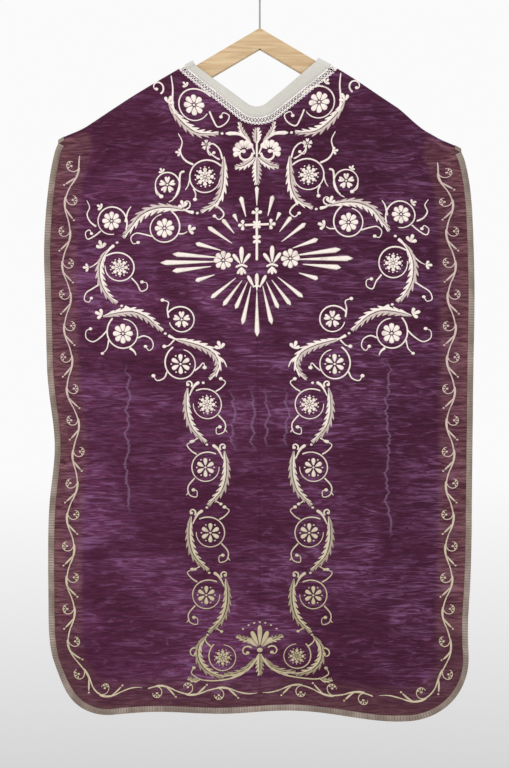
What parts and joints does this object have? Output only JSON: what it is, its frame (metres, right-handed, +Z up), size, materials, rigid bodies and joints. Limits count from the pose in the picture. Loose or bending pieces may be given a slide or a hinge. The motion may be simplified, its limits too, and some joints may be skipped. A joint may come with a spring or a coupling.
{
  "type": "chasuble",
  "caption": "Stiff Roman-cut silk chasuble with a silver-embroidered cross, galloon edge and lace neck guard, hung on a plain wooden hanger with a wire hook.",
  "frame": {"origin": "inside top of the hanger's hook, where it bears on its rail", "axes": "+Z up; the embroidered back faces -Y; +X to the right of someone facing the back"},
  "size_m": [0.7256, 0.033, 1.284],
  "materials": {
    "silk": "violet corded silk with a low sheen",
    "canvas": "stiff unbleached canvas",
    "lining": "plain weave cotton lining",
    "linen": "plain white linen",
    "lace": "openwork cotton lace",
    "galloon": "ribbed metal-thread braid, dulled",
    "silver_thread": "couched silver thread over padding",
    "tarnished_thread": "couched silver thread, tarnished",
    "wood": "plain softwood, sanded",
    "steel_wire": "drawn steel"
  },
  "bodies": {
    "hook": {"hook_wire": "steel_wire", "hook_washer": "steel_wire"},
    "hanger": {"hanger_arm_left": "wood", "hanger_arm_right": "wood", "hanger_nails": "steel_wire"},
    "garment": {"yoke_silk_left": "silk", "yoke_silk_right": "silk", "yoke_silk_front": "silk", "yoke_canvas_back": "canvas", "yoke_canvas_front": "canvas", "shoulder_canvas_left": "canvas", "shoulder_canvas_right": "canvas", "yoke_lining_back": "lining", "yoke_lining_front": "lining", "shoulder_lining_left": "lining", "shoulder_lining_right": "lining", "neck_linen_back": "linen", "neck_linen_front": "linen", "neck_linen_shoulders": "linen", "neck_lace_back": "lace", "neck_lace_front": "lace", "neck_lace_shoulders": "lace", "shoulder_galloon_left": "galloon", "shoulder_galloon_right": "galloon", "neck_scrolls_back": "silver_thread", "neck_scrolls_front": "silver_thread"},
    "back_panel": {"back_silk_left": "silk", "back_silk_right": "silk", "back_canvas": "canvas", "back_lining": "lining", "back_galloon": "galloon", "cross_scrolls_left": "silver_thread", "cross_scrolls_right": "silver_thread", "column_scrolls_left": "silver_thread", "column_scrolls_right": "silver_thread", "sunburst_rays": "silver_thread", "sunburst_cross": "silver_thread", "base_palmette": "tarnished_thread", "back_vine_left": "tarnished_thread", "back_vine_right": "tarnished_thread", "back_vine_hem": "tarnished_thread"},
    "front_panel": {"front_silk_left": "silk", "front_silk_right": "silk", "front_canvas": "canvas", "front_lining": "lining", "front_galloon": "galloon", "pillar_scrolls_left": "silver_thread", "pillar_scrolls_right": "silver_thread", "front_vine_left": "tarnished_thread", "front_vine_right": "tarnished_thread", "front_vine_hem": "tarnished_thread"}
  },
  "joints": [
    {"name": "hook_swivel", "type": "hinge", "parent": "hook", "child": "hanger", "pos_m": [0, 0, -0.1], "axis": [0, 0, 1], "continuous": true},
    {"name": "garment_lift", "type": "slide", "parent": "hanger", "child": "garment", "axis": [0, 0, 1], "range_m": [0, 1.3]},
    {"name": "back_fold", "type": "hinge", "parent": "garment", "child": "back_panel", "pos_m": [0, -0.015, -0.328], "axis": [-1, 0, 0], "range_deg": [0, 90]},
    {"name": "front_fold", "type": "hinge", "parent": "garment", "child": "front_panel", "pos_m": [0, 0.015, -0.328], "axis": [1, 0, 0], "range_deg": [0, 90]}
  ]
}
